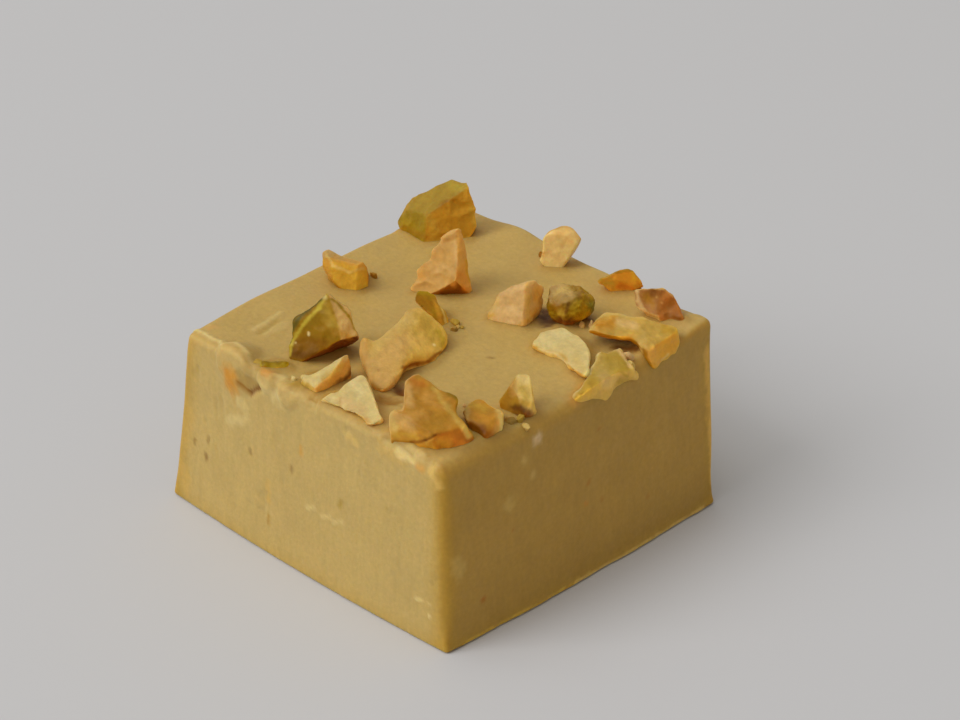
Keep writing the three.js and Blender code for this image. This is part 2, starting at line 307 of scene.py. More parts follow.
def own_colours(seen, light):
    """Takes the photograph's light off colours that are given as it shows them."""
    own = seen / (EXPOSURE * np.reshape(light, (-1, 1)))
    return own * np.minimum(PALEST / own.max(axis=1, keepdims=True), 1)


def point_normals(points, faces):
    """Unit normals at the points of a mesh of quads."""
    across = points[faces[:, 2]] - points[faces[:, 0]]
    along = points[faces[:, 3]] - points[faces[:, 1]]
    face_normals = np.cross(across, along)
    normals = np.zeros_like(points)
    for corner in range(4):
        np.add.at(normals, faces[:, corner], face_normals)
    return normals / np.maximum(np.linalg.norm(normals, axis=1, keepdims=True), 1e-12)


def smoothed(points, faces, rounds):
    """Pulls each point halfway to the mean of its neighbours."""
    ends = np.concatenate([faces[:, [i, (i + 1) % 4]] for i in range(4)])
    ends = np.unique(np.sort(ends, axis=1), axis=0)
    count = np.bincount(ends.ravel(), minlength=len(points))[:, None]
    for _ in range(rounds):
        total = np.zeros_like(points)
        np.add.at(total, ends[:, 0], points[ends[:, 1]])
        np.add.at(total, ends[:, 1], points[ends[:, 0]])
        points = (points + total / count) / 2
    return points


def placed(name, data):
    """A new object in the scene."""
    made = bpy.data.objects.new(name, data)
    bpy.context.scene.collection.objects.link(made)
    return made


def add_piece(name, points, faces, colours, slot, replaced=()):
    """Makes a smooth mesh with a colour at each point, fixed to the part."""
    mesh = bpy.data.meshes.new(name)
    mesh.from_pydata((points * MM).tolist(), [], faces.tolist())
    mesh.polygons.foreach_set("use_smooth", np.ones(len(mesh.polygons), bool))
    layer = mesh.color_attributes.new("tone", "FLOAT_COLOR", "POINT")
    layer.data.foreach_set("color", np.column_stack([colours, np.ones(len(points))]).ravel())
    mesh.materials.append(FINISHES[slot])
    piece = placed(name, mesh)
    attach(piece, "root")
    if replaced:
        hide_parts(*replaced)


class Finish:
    """A material whose colour starts from the mesh's own tone."""

    def __init__(self, name):
        self.material = bpy.data.materials.new(name)
        self.material.use_nodes = True
        self.tree = self.material.node_tree
        self.shader = self.tree.nodes["Principled BSDF"]
        self.place = self.add("ShaderNodeTexCoord").outputs["Object"]
        self.tone = self.add("ShaderNodeVertexColor", layer_name="tone").outputs["Color"]

    def add(self, kind, **settings):
        made = self.tree.nodes.new(kind)
        for key, value in settings.items():
            setattr(made, key, value)
        return made

    def link(self, source, target):
        self.tree.links.new(source, target)

    def set(self, **values):
        for key, value in values.items():
            self.shader.inputs[key.replace("_", " ")].default_value = value

    def noise(self, size, stretch=(1, 1, 1)):
        """Grain of a size in millimetres."""
        spread = self.add("ShaderNodeMapping")
        spread.inputs["Scale"].default_value = [1 / (MM * size * s) for s in stretch]
        self.link(self.place, spread.inputs["Vector"])
        grain = self.add("ShaderNodeTexNoise")
        grain.inputs["Scale"].default_value = 1
        grain.inputs["Detail"].default_value = GRAIN_DETAIL
        self.link(spread.outputs["Vector"], grain.inputs["Vector"])
        return grain.outputs["Fac"]

    def varied(self, grain, low, high):
        """Values from low to high that follow a grain."""
        fit = self.add("ShaderNodeMapRange")
        limits = {"From Min": GRAIN_LOW, "From Max": GRAIN_HIGH, "To Min": low, "To Max": high}
        for key, number in limits.items():
            fit.inputs[key].default_value = number
        self.link(grain, fit.inputs["Value"])
        return fit.outputs["Result"]

    def shaded(self, *shades):
        """Multiplies the mesh's own tone by grey values to get the colour."""
        colour = self.tone
        for value in shades:
            mix = self.add("ShaderNodeVectorMath", operation="SCALE")
            self.link(colour, mix.inputs[0])
            self.link(value, mix.inputs["Scale"])
            colour = mix.outputs["Vector"]
        self.link(colour, self.shader.inputs["Base Color"])

    def bump(self, value, depth):
        """Fine roughness of a depth in millimetres."""
        made = self.add("ShaderNodeBump")
        made.inputs["Distance"].default_value = depth * MM
        self.link(value, made.inputs["Height"])
        self.link(made.outputs["Normal"], self.shader.inputs["Normal"])


def gianduja_finish():
    finish = Finish("gianduja")
    cloudy = finish.varied(finish.noise(3), 0.96, 1.04)
    streaked = finish.varied(finish.noise(0.5, stretch=(1, 1, 6)), 0.97, 1.03)
    grainy = finish.varied(finish.noise(0.35), 0.95, 1.05)
    finish.shaded(cloudy, streaked, grainy)
    finish.link(finish.varied(finish.noise(0.8), 0.45, 0.6), finish.shader.inputs["Roughness"])
    finish.bump(finish.noise(0.3), 0.035)
    finish.set(Subsurface_Weight=0.5, Subsurface_Radius=(1, 0.55, 0.2), Subsurface_Scale=1.3 * MM)
    finish.set(Specular_IOR_Level=0.3)
    return finish.material


def nut_finish(name, grain, roughness, glow):
    finish = Finish(name)
    mottled = finish.varied(finish.noise(grain * 3), 0.93, 1.06)
    grainy = finish.varied(finish.noise(grain), 0.94, 1.05)
    finish.shaded(mottled, grainy)
    gloss = finish.varied(finish.noise(grain * 2), roughness - 0.1, roughness + 0.1)
    finish.link(gloss, finish.shader.inputs["Roughness"])
    finish.bump(finish.noise(grain * 0.7), 0.03)
    finish.set(Subsurface_Weight=glow, Subsurface_Radius=(1, 0.45, 0.15), Subsurface_Scale=0.6 * MM)
    finish.set(Specular_IOR_Level=0.15)
    return finish.material


FINISHES = {
    "gianduja": gianduja_finish(),
    "nut_pale": nut_finish("nut_pale", 0.25, 0.5, 0.3),
    "nut_roasted": nut_finish("nut_roasted", 0.3, 0.45, 0.3),
    "nut_green": nut_finish("nut_green", 0.3, 0.45, 0.2),
    "nut_skin": nut_finish("nut_skin", 0.25, 0.45, 0.2),
}


def box_lattice(along, up):
    """Points from -1 to 1 on the six faces of a gridded box, and its quads, facing out."""
    counts = np.array([along, along, up])
    places, quads, offset = [], [], 0
    for axis, end in itertools.product(range(3), (0, 1)):
        first, second = (axis + 1) % 3, (axis + 2) % 3
        i, j = np.meshgrid(np.arange(counts[first] + 1), np.arange(counts[second] + 1), indexing="ij")
        place = np.zeros((i.size, 3), np.int64)
        place[:, axis] = end * counts[axis]
        place[:, first] = i.ravel()
        place[:, second] = j.ravel()
        index = np.arange(i.size).reshape(i.shape) + offset
        quad = [index[:-1, :-1], index[1:, :-1], index[1:, 1:], index[:-1, 1:]]
        quad = np.stack(quad, axis=-1).reshape(-1, 4)
        quads.append(quad if end else quad[:, ::-1])
        places.append(place)
        offset += i.size
    shared, which = np.unique(np.concatenate(places), axis=0, return_inverse=True)
    return shared / counts * 2 - 1, which.reshape(-1)[np.concatenate(quads)]


def ripple(a, b):
    """Sum of a few slow waves."""
    waves = (weight * np.sin(along * a + across * b + phase) for along, across, phase, weight in RIPPLE_WAVES)
    return sum(waves)


def top_relief(x, y):
    inward = (1 - (2 * x / SIDE) ** 2) * (1 - (2 * y / SIDE) ** 2)
    relief = TOP_RIPPLE * ripple(x, y) - TOP_DISH * inward
    for (spot_x, spot_y), radius, rise in RAISED_SPOTS:
        relief = relief + rise * np.exp(-((x - spot_x) ** 2 + (y - spot_y) ** 2) / radius ** 2)
    return relief


def edge_roundings(points):
    """How far the rounding reaches in along X, Y and Z at each point of the true box."""
    x, y, z = points.T
    near_rim = ramp(z, HALF[2] - RIM_ZONE, HALF[2])
    near_base = ramp(-z, HALF[2] - RIM_ZONE, HALF[2])
    standing = np.where((x > 0) & (y < 0), FRONT_ROUNDING, EDGE_ROUNDING)
    edge = standing + (BASE_ROUNDING - standing) * near_base
    shaded = RIM_ROUNDING["shaded"] + (RIM_ROUNDING_RIGHT - RIM_ROUNDING["shaded"]) * ramp(y, 7, 13)
    rim_x = np.where(x > 0, shaded, RIM_ROUNDING["hidden"])
    rim_y = np.where(y > 0, RIM_ROUNDING["far"], RIM_ROUNDING["lit"])
    along_x = edge + (rim_x - edge) * near_rim
    along_y = edge + (rim_y - edge) * near_rim
    side_share = ramp(np.abs(x) - np.abs(y), -1.0, 1.0)
    rim_z = rim_y + (rim_x - rim_y) * side_share
    along_z = np.where(z > 0, rim_z, BASE_ROUNDING)
    return np.column_stack([along_x, along_y, along_z])


def shaped_block(unit):
    """Moves points of the unit box to the leaning, rounded, uneven block."""
    points = np.sign(unit) * (1 - (1 - np.abs(unit)) ** BLOCK_CROWDING) * HALF
    rounding = edge_roundings(points)
    inner = np.clip(points, rounding - HALF, HALF - rounding)
    outward = (points - inner) / rounding
    longest = np.abs(outward).max(axis=1, keepdims=True)
    length = np.linalg.norm(outward, axis=1, keepdims=True)
    points = inner + outward * longest / np.maximum(length, 1e-9) * rounding

    share = points / (2 * HALF) + 0.5
    right, away, rise = share.T
    moved = points.copy()
    moved[:, 2] += HALF[2]
    for (side_x, side_y), offset in CORNER_OFFSETS.items():
        weight = np.where(side_x > 0, right, 1 - right) * np.where(side_y > 0, away, 1 - away)
        for axis in range(2):
            base, top = offset["base"][axis], offset["top"][axis]
            moved[:, axis] += weight * (base + (top - base) * rise)
    bow = {side: base + (top - base) * rise for side, (base, top) in SIDE_BOWS.items()}
    moved[:, 0] += 4 * away * (1 - away) * (right * bow["shaded"] - (1 - right) * bow["hidden"])
    moved[:, 1] += 4 * right * (1 - right) * (away * bow["far"] - (1 - away) * bow["lit"])
    bulge = SIDE_RIPPLE * np.sin(np.pi * rise)
    moved[:, 0] += bulge * ripple(moved[:, 1], moved[:, 2])
    moved[:, 1] += bulge * ripple(moved[:, 2], moved[:, 0])
    moved[:, 2] += rise * top_relief(moved[:, 0], moved[:, 1])
    return moved, share


# The axes that run along and up each face that shows
FACE_AXES = {"top": (0, 1), "lit": (0, 2), "shaded": (1, 2)}

# Lumps that stand out of the block: middle, reach along each axis, and push along each axis
LUMPS = [
    ((-7.7, -14.4, 14.4), (2.3, 2.2, 2.3), (0, -.35, .55)),
    ((-4, -14.6, 14.8), (1.1, 1, 1), (0, -.25, .2)),
    ((-1.6, -14.6, 14.6), (1.2, 1, 1.2), (0, -.25, .1)),
    ((13.6, 13.2, 15.4), (1.5, 1.4, 1.8), (.05, .05, .15)),
]

# Soft marks on each face: along and up of the start and of the end, width, colour, share of it, and lift;
# some are painted light (shade, shadows, highlights and glow), noted at their rows
MARKS = [
    ("lit", [
        (-3.7, 6.3, -3.7, 4.8, .4, WARM, .8, -.03), (-8, 9.8, -6.2, 10.7, .7, SCRATCH, .6, .03),
        (.7, 6.1, 1.5, 6.4, .25, SCRATCH, .7, .02), (2.2, 6, 3.2, 6.4, .25, SCRATCH, .7, -.02),
        (3.5, 6.1, 4.6, 6.6, .2, SCRATCH, .6, -.02), (-13.8, 3, -13.8, 1.2, .8, WARM, .7, 0),
        (-13.2, 8.5, -13.6, 5.5, .7, WARM, .5, 0), (-7, 12, -6.2, 11.8, .6, SCRATCH, .4, .04),
        (-4.2, 14.2, -2.4, 13.9, .7, SCRATCH, .6, .05), (8.6, 14.4, 10.4, 14.2, .8, WARM, .4, .03),
        # The khaki mark on this row and the roast and brown marks on the next are painted shade in the
        # crevice below the rim lump
        (-7.8, 13.3, -7.7, 12.8, 1.1, ORANGE, 1, .06), (-6.5, 13.7, -5.3, 14, .6, KHAKI, .6, -.15),
        (-6.9, 13.2, -5.7, 13.1, .25, ROAST, .9, -.1), (-5.7, 13.1, -4.7, 14.1, .3, BROWN, .85, -.15),
    ]),
    ("top", [(-1.4, -14.1, -.6, -14, .5, OLIVE, .85, .1)]),
    ("lit", [
        (5, 13.9, 5.8, 13.7, .6, STRAW, .7, .06), (10.2, 14.8, 11.8, 14.7, .5, CREAM, .8, .1),
        # The straw mark from (13.5, 14.9) is a painted highlight along the front standing edge
        (12.3, 14.5, 12.6, 14.5, .4, APRICOT, .8, .05), (13.5, 14.9, 14.2, 13.6, .5, STRAW, .5, .05),
        (-11.2, 5.1, -11.2, 5.4, .3, SPECK, .9, -.03), (-10.9, 6.7, -10.9, 7, .28, SPECK, .6, -.03),
        (-12.6, 5.8, -12.5, 6.2, .25, SPECK, .6, -.03), (-5.7, 8, -5.7, 8.2, .3, SPECK, .7, -.03),
        (-1.1, 8.5, -1.1, 8.8, .28, SPECK, .7, -.03), (0, 10.3, 0, 10.8, .28, ORANGE, .6, 0),
        (-3.7, 2.8, -3.65, 3.4, .28, AMBER, .6, 0), (4.3, 7.7, 4.4, 8.3, .25, LIME, .6, 0),
        (12.2, 3.5, 12.8, 3.6, .2, SCRATCH, .8, .04), (13.4, 3.6, 13.5, 3.6, .2, SCRATCH, .8, .04),
        (13.5, 2.5, 13.5, 2.6, .2, IVORY, .7, .04),
    ]),
    ("top", [
        # The cream marks on these three rows are a painted highlight along the lit rim and round the rim lump
        (-13, -13.7, -10, -13.9, .35, CREAM, .9, .1), (-10, -13.9, -9.1, -14.4, .3, CREAM, .9, .1),
        (-9.1, -14.3, -8.4, -13.7, .25, CREAM, .7, .05), (-8.4, -13.65, -6.7, -13.9, .25, CREAM, .7, .05),
        (-6.7, -13.9, -5.9, -14.4, .25, CREAM, .5, .05), (-12.5, -12.8, -12.4, -12.6, .5, PEACH, .8, .05),
        (-4.3, -14.4, -3.7, -14.3, .6, APRICOT, 1, .1), (-3.2, -14.2, -2.6, -14.2, .45, CREAM, .6, .1),
        (.5, -14.4, 1, -14.5, .4, GOLD, .8, .05), (10.6, -14.5, 12.2, -14.3, .4, CREAM, .7, .1),
        (-9.8, -10.9, -10.4, -7.7, .3, SCRATCH, .5, .07), (-9.2, -10.7, -9.7, -8.6, .3, OLIVE, .35, -.07),
        # The roast mark from (4.4, -11.6) and the marks on the next two rows are painted shadow on the top,
        # in gaps between nuts and under them
        (-8.7, -10.4, -8.9, -8.6, .6, SCRATCH, .3, .05), (4.4, -11.6, 5.4, -10.6, .9, ROAST, .75, -.1),
        (4.5, -9.1, 5.2, -9, .9, BROWN, 1, -.3), (3.6, 7.2, 5, 6, 1, BARK, .95, -.1),
        (5, 6.8, 7.2, 8.4, .5, BROWN, .8, 0), (11.6, 6.9, 12.9, 7.4, .8, BROWN, .9, -.1),
        (13.8, .6, 14.5, -.6, .8, APRICOT, .7, .15), (5.7, -1.05, 5.95, -.95, .2, SPECK, .9, -.03),
    ]),
    ("shaded", [
        (-6.8, 12.7, -6.7, 12.6, .4, BUFF, .25, 0), (-5.8, 11.1, -5.8, 11, .4, BUFF, .25, 0),
        (-8.5, 9.8, -8.2, 9.6, .6, BUFF, .2, 0), (-13.7, 7.2, -13.6, 6.4, .8, BUFF, .2, 0),
        # The olive and straw lines at height 0.2 are a painted highlight on the burr along the base, and the
        # khaki line by the right edge is a painted glow of light through that edge
        (-5.5, 13.7, -5.3, 13.8, .55, CHALK, .7, .03), (-13.5, .2, -2, .2, .2, OLIVE, .5, 0),
        (-2, .2, 12.5, .2, .25, STRAW, .6, 0), (13.9, 2, 13.7, 13.5, .5, KHAKI, .6, 0),
        (-11.3, 3, -11.3, 3, .32, BROWN, .8, -.03), (1.2, 11.9, 1.3, 11.9, .2, BROWN, .5, 0),
        (-.2, 7.8, 0, 8, .2, BROWN, .5, 0), (1.2, 5.9, 1.3, 5.9, .2, BROWN, .4, 0),
        (-8.1, 7.3, -8.1, 7.5, .2, BROWN, .5, 0), (6.2, 4, 6.3, 4, .2, BROWN, .4, 0),
        (-.6, 6.4, -.4, 6.2, .2, BRICK, .4, 0),
    ]),
]


def face_shares(normals):
    """How far each point belongs to each face that shows."""
    return {
        "top": ramp(normals[:, 2], 0.3, 0.8),
        "lit": ramp(-normals[:, 1], 0.4, 0.9),
        "shaded": ramp(normals[:, 0], 0.4, 0.9),
    }


def make_block(nut_points):
    unit, faces = box_lattice(BLOCK_ALONG, BLOCK_UP)
    points, share = shaped_block(unit)
    normals = point_normals(points, faces)
    on = face_shares(normals)
    sides = 1 - np.abs(normals[:, 2])

    drag = fractal(points, DRAG_SIZE, BLOCK_SEEDS["drag"])
    pits = ramp(fractal(points, PIT_SIZE, BLOCK_SEEDS["pits"], 2), *PIT_EDGE)
    dragged = DRAG_ELSEWHERE + (1 - DRAG_ELSEWHERE) * on["lit"]
    lift = sides * (DRAG_DEPTH * drag * dragged - PIT_DEPTH * pits * on["lit"])
    lift += TOP_DEPTH * on["top"] * fractal(points, TOP_SIZE, BLOCK_SEEDS["top"])

    rim_gap = np.hypot(share[:, 1] * SIDE, (1 - share[:, 2]) * HEIGHT)
    chips = ramp(fractal(points, CHIP_SIZE, BLOCK_SEEDS["chips"], 2), *CHIP_EDGE)
    lift -= CHIP_DEPTH * chips * np.exp(-(rim_gap / CHIP_REACH) ** 2)

    # Ochre near the standing edges and the base: a painted glow of light through the edges, partly a fat
    # smear
    standing = np.maximum(0.5 - np.abs(share[:, 0] - 0.5), 0.5 - np.abs(share[:, 1] - 0.5)) * SIDE
    smear_and_glow = EDGE_SMEAR_AND_GLOW * np.exp(-(standing / EDGE_SMEAR_AND_GLOW_WIDTH) ** 2)
    smear_and_glow += BASE_SMEAR_AND_GLOW * np.exp(-(share[:, 2] * HEIGHT / BASE_SMEAR_AND_GLOW_WIDTH) ** 2)
    colours = blend(GIANDUJA, SCRAPED, on["lit"])
    # Painted shade: the shaded side gets a more saturated copy of the gianduja's colour
    colours = blend(colours, PAINTED_SHADE_TONE, ramp(normals[:, 0], 0.2, 0.9))
    colours = blend(colours, SMEAR_AND_GLOW_OCHRE, np.clip(sides * smear_and_glow, 0, MOST_SMEAR_AND_GLOW))
    colours *= (1 + on["lit"] * (DRAG_TINT * drag - PIT_TINT * pits))[:, None]
    # The shaded side is painted darker towards its base
    colours *= (1 - SHADED_FALL * on["shaded"] * ramp(-share[:, 2], -SHADED_FALL_RISE, 0))[:, None]
    light = daylight(normals)
    ragged = wander(points, BLOCK_SEEDS)
    for face, rows in MARKS:
        for *line, width, colour, part, raised in rows:
            places = points[:, FACE_AXES[face]] + RAGGED * width * ragged
            covered = on[face] * stroke(places, line[:2], line[2:], width)
            colours = blend(colours, own_colours(colour, light), part * covered)
            lift += raised * covered

    points = points + normals * lift[:, None]
    for middle, reach, push in LUMPS:
        gap = np.linalg.norm((points - middle) / reach, axis=1)
        gap += LUMP_RAGGED * fractal(points, 1, BLOCK_SEEDS["lumps"], 2)
        points = points + ramp(-gap, *LUMP_EDGE)[:, None] * push
    base_gap = np.hypot((1 - share[:, 0]) * SIDE, (share[:, 2] - BURR_RISE) * HEIGHT)
    burr = 0.6 + 0.4 * fractal(points, BURR_SIZE, BLOCK_SEEDS["burr"], 2)
    points[:, 0] += BURR_REACH * burr * np.exp(-(base_gap / BURR_WIDTH) ** 2)

    tree = KDTree(len(nut_points))
    for i, point in enumerate(nut_points):
        tree.insert(point, i)
    tree.balance()
    upper = np.nonzero(on["top"] > 0.1)[0]
    gap = np.array([tree.find(points[i])[2] for i in upper])
    points[upper, 2] += MENISCUS_RISE * on["top"][upper] * np.exp(-(gap / MENISCUS_WIDTH) ** 2)
    # Painted contact shade: the gianduja is darkened close to each nut
    contact_shaded = on["top"][upper] * np.exp(-(gap / CONTACT_SHADE_WIDTH) ** 2)
    colours[upper] *= 1 - (1 - CONTACT_SHADE) * contact_shaded[:, None]

    add_piece("gianduja_surface", points, faces, colours, "gianduja", ["gianduja_block"])
    return points, on


def picture_axes():
    """Right, up and towards the viewer in the photograph."""
    sa, ca = math.sin(PICTURE_AZIMUTH), math.cos(PICTURE_AZIMUTH)
    se, ce = math.sin(PICTURE_ELEVATION), math.cos(PICTURE_ELEVATION)
    return np.array([[ca, sa, 0], [-sa * se, ca * se, ce], [sa * ce, -ca * ce, se]])


PICTURE = picture_axes()
UP = np.array([0, 1, 0])
NEARER = np.array([0, -math.sin(PICTURE_ELEVATION), math.cos(PICTURE_ELEVATION)])

# Shapes and colours of the nuts, in the words that make_nut explains
NUTS = {}
NUTS["back_chunk"] = {
    "slot": "nut_roasted",
    "pulls": [(-2.6, 1, .6, 0, .35), (2.6, .2, .6, .1, .1), (-3, -.5, .9, -.35, 0)],
    "faces": [(300, 70, AMBER), (125, 40, OLIVE), (190, 40, LIME), (15, -5, AMBER), (90, -10, OLIVE)],
    "strokes": [
        (.6, LEAF, .4, .9, 2.3, 1.7, 1.8), (.45, ROAST, .6, .1, .5, 1.6, 1.3),
        (.5, ROAST, .5, -3.2, -1.4, -1.5, -2), (.4, OLIVE, .6, 2.4, .4, 2.8, -.9),
        (.4, GOLD, .4, -3.2, 0, -2.2, 1.5), (.6, OLIVE, .5, -.9, -.4, -.6, -1.6),
    ],
}
NUTS["tall_wedge"] = {
    "slot": "nut_roasted", "wave": .07,
    "pulls": [
        (.5, 2.4, .6, -.6, -.25), (-.3, 1.2, .9, -.8, 0), (-1.4, -.4, .8, -1, 0), (-2.3, -1.7, .6, -.6, 0),
    ],
    "faces": [
        # The face at (275, 30) is painted shade: the underside, which lies in shadow
        (185, 55, PEACH), (350, 35, CARAMEL), (275, 30, BROWN), (140, -15, APRICOT), (85, -20, PEACH),
    ],
    "strokes": [
        # Painted light: the blush line on this row is a painted highlight along an edge, the bark stroke on
        # the next row is painted shade on the underside, and the umber band after it is a painted shadow down
        # the right side
        (.45, APRICOT, .6, -2.1, -.8, -1.8, .2), (.2, BLUSH, .6, .6, 1.6, .75, -.2),
        (.5, EMBER, .4, 1.2, -.8, 1.6, -2), (.35, BARK, .8, -.4, -2.45, 1, -2.1),
        (.22, UMBER, .7, 1.5, .2, 1.9, -1.4), (.4, APRICOT, .6, 0, -1.2, .5, -1.5),
    ],
}
NUTS["left_cube"] = {
    "slot": "nut_roasted", "rounds": 2, "break": .06,
    "faces": [
        (245, 60, HONEY), (330, 40, OLIVE), (80, 35, TAUPE), (217, 10, AMBER), (117, -10, PEACH),
        (6, 0, ROAST),
    ],
    "strokes": [
        (.35, CARAMEL, .6, -1.4, 1, -1.2, -.5), (.5, HONEY, .7, 0, -.4, .6, -1.2),
        (.5, ROAST, .4, 1.4, .2, 1.9, -.7), (.4, CARAMEL, .8, -.8, .9, 1.3, .35),
        # The two thin straw lines on this row are a painted highlight along the front face's edges
        (.16, STRAW, .8, -1.4, 1.2, -.9, .3, .35, -.25), (.14, STRAW, .7, .35, -.25, 1.5, .05),
        (.3, ROAST, .6, -1.3, -.8, -.4, -1.5),
    ],
}
NUTS["green_wedge"] = {
    "slot": "nut_green",
    "pulls": [(-1.7, .6, .9, -.35, .15), (1.9, 1.2, .8, .2, .15)],
    "faces": [
        # The face at (295, 10) is painted shade: the underside, in shadow under the overhang
        (200, 72, UMBER), (15, 45, TAUPE), (295, 10, BARK), (165, -10, FERN), (127, -15, FERN),
        (56, -15, FERN),
    ],
    "strokes": [
        # The bark and brown strokes on this row are painted shade towards the lower left of the cut face
        (.8, BARK, .7, -2.2, -1.8, -.6, -2), (.7, BROWN, .5, -1.6, -.9, .2, -1.2),
        (.5, OLIVE, .8, .2, 1.6, .9, .3), (.4, AMBER, .7, .9, -.2, 2, -.5),
        (.45, MOSS, .5, -.9, .4, .1, 1.5), (.2, LEAF, .9, -2.5, -1.9, -2.2, -.8, -1.4, .3, -.2, 1.6),
        (.25, LEAF, .8, -.2, 1.6, .3, 2.4), (.28, FERN, .95, -2.55, -.6, -1.9, .7, -.9, 1.65),
        (.25, FERN, .9, -.9, 1.65, .1, 2.3), (.17, MOSS, .9, .75, 2.2, 1.45, 1.55, 2, .95, 2.55, -.1),
        (.25, CREAM, .6, .2, 2.35, .25, 2.3), (.13, IVORY, .9, -1, -.45, -.97, -.3),
        (.1, CREAM, .7, -2, -1, -1.97, -1.03),
    ],
}
NUTS["centre_lump"] = {
    "slot": "nut_pale", "rounds": 4 * BLENDED_ROUNDS, "break": .1,
    "fills": [(-.2, .2, 1.4, -.3, 1.2), (.5, -.6, 1.7, -.6, 1.05)],
    "pulls": [
        (-2.56, .02, .5, -.15, .5), (-1.36, .92, .5, 0, -.15), (.64, 2.62, .6, -.2, .2),
        (.74, -2.18, .6, 0, .2),
    ],
    "slides": [(-1.3, -2.4, .9, .15, 1.2)],
    "faces": [
        # The face at (319, -5) is painted shade: the underside, in shadow
        (40, 55, GOLD), (100, 50, PEACH), (95, 45, GOLD), (319, -5, BARK), (180, 0, PEACH), (288, 0, PEACH),
        (15, -10, OLIVE), (52, -15, GOLD),
    ],
    "strokes": [
        (1.3, PEACH, .7, -1.66, -1.68, -.86, -2.48), (.8, STRAW, .6, -.76, 1.22, -1.76, .12),
        (1.2, PEACH, .6, .14, .32, -.66, -.68), (.9, OLIVE, .6, 1.74, 2.12, 2.84, .52),
        (.3, LIME, .6, 2.84, 1.12, 3.29, .02), (.35, OLIVE, .4, 1.04, 2.52, 1.14, 1.12),
        (.7, STRAW, .8, .7, 2.1, -.6, 1.6), (.35, APRICOT, .6, -2.61, -1.48, -2.61, .12),
        # The thin brown line from (0.3, -1.6) is painted contact shade along the ragged lower right edge
        (.5, AMBER, .5, .54, -1.28, 2.44, -.78), (.2, BROWN, .9, .3, -1.6, 1.3, -1.4, 2.1, -1.05, 3, -.4),
        (.13, RUST, .5, -1.56, -1.68, -1.46, -1.88), (.14, IVORY, .8, 2.49, .22, 2.54, .17),
        (.35, AMBER, .6, -2.16, -2.78, -1.26, -3.28),
    ],
}
NUTS["centre_sliver"] = {
    "slot": "nut_green",
    "pulls": [(1, -.9, .6, .2, -1.1)],
    "faces": [(60, 40, UMBER), (167, -5, LIME), (94, -10, LIME), (355, 0, ORANGE), (228, 0, ROAST)],
    "strokes": [
        (.6, ROAST, .8, -.9, .8, -.3, .5), (.4, LIME, .9, -.9, 1.5, .2, 1.4),
        (.3, ORANGE, .5, .2, .8, 1, -1.4), (.12, STRAW, .6, .5, .9, 1.2, -1),
        (.4, OLIVE, .6, -1.2, .1, -1.1, 0),
    ],
}
NUTS["left_shaving"] = {
    "slot": "nut_pale",
    "pulls": [(1.5, .9, .7, .1, .45), (-1.2, -.4, .7, -.15, .35)],
    "faces": [(328, 35, CARAMEL), (120, 40, CREAM), (215, 30, GOLD), (110, -5, CREAM), (40, -30, BARK)],
    "strokes": [
        (.4, CREAM, .8, -1.3, -.2, 1.5, 1.3), (.4, SOOT, .85, 1.1, -.9, 2.2, .4),
        (.35, GOLD, .7, .2, -.2, 1.4, .7), (.35, APRICOT, .8, -.4, -1.1, .2, -.5),
        (.45, OLIVE, .6, -1.6, -.9, -.9, -1.4), (.3, BROWN, .6, 2, 1.2, 2, 1.1),
    ],
}
NUTS["pale_chip"] = {
    "slot": "nut_pale",
    "pulls": [(0, -1.1, .5, 0, .15), (-1.4, .9, .5, .05, -.15)],
    "slides": [(1.4, -.7, .8, .3, 1.6), (1.1, -1.5, .5, -.25, .5)],
    "faces": [(100, 45, CREAM), (240, 10, GOLD), (283, 20, PEACH), (25, 0, CREAM), (333, 10, STRAW)],
    "strokes": [
        (.55, IVORY, .6, -.3, 1.6, .3, .6), (.5, BLUSH, .6, -.9, 0, .4, -.7),
        (.4, APRICOT, .7, .7, -1.4, 1.6, -2.1), (.3, IVORY, .6, 1.9, -1.5, 1.95, -1.7),
        (.4, CREAM, .6, -2.4, 0, -1.4, -.2), (.1, CARAMEL, .5, -1.15, .1, -1.15, -.5),
    ],
    "dents": [(-1.9, -.2, -1.35, -.35, .5, .2)],
}
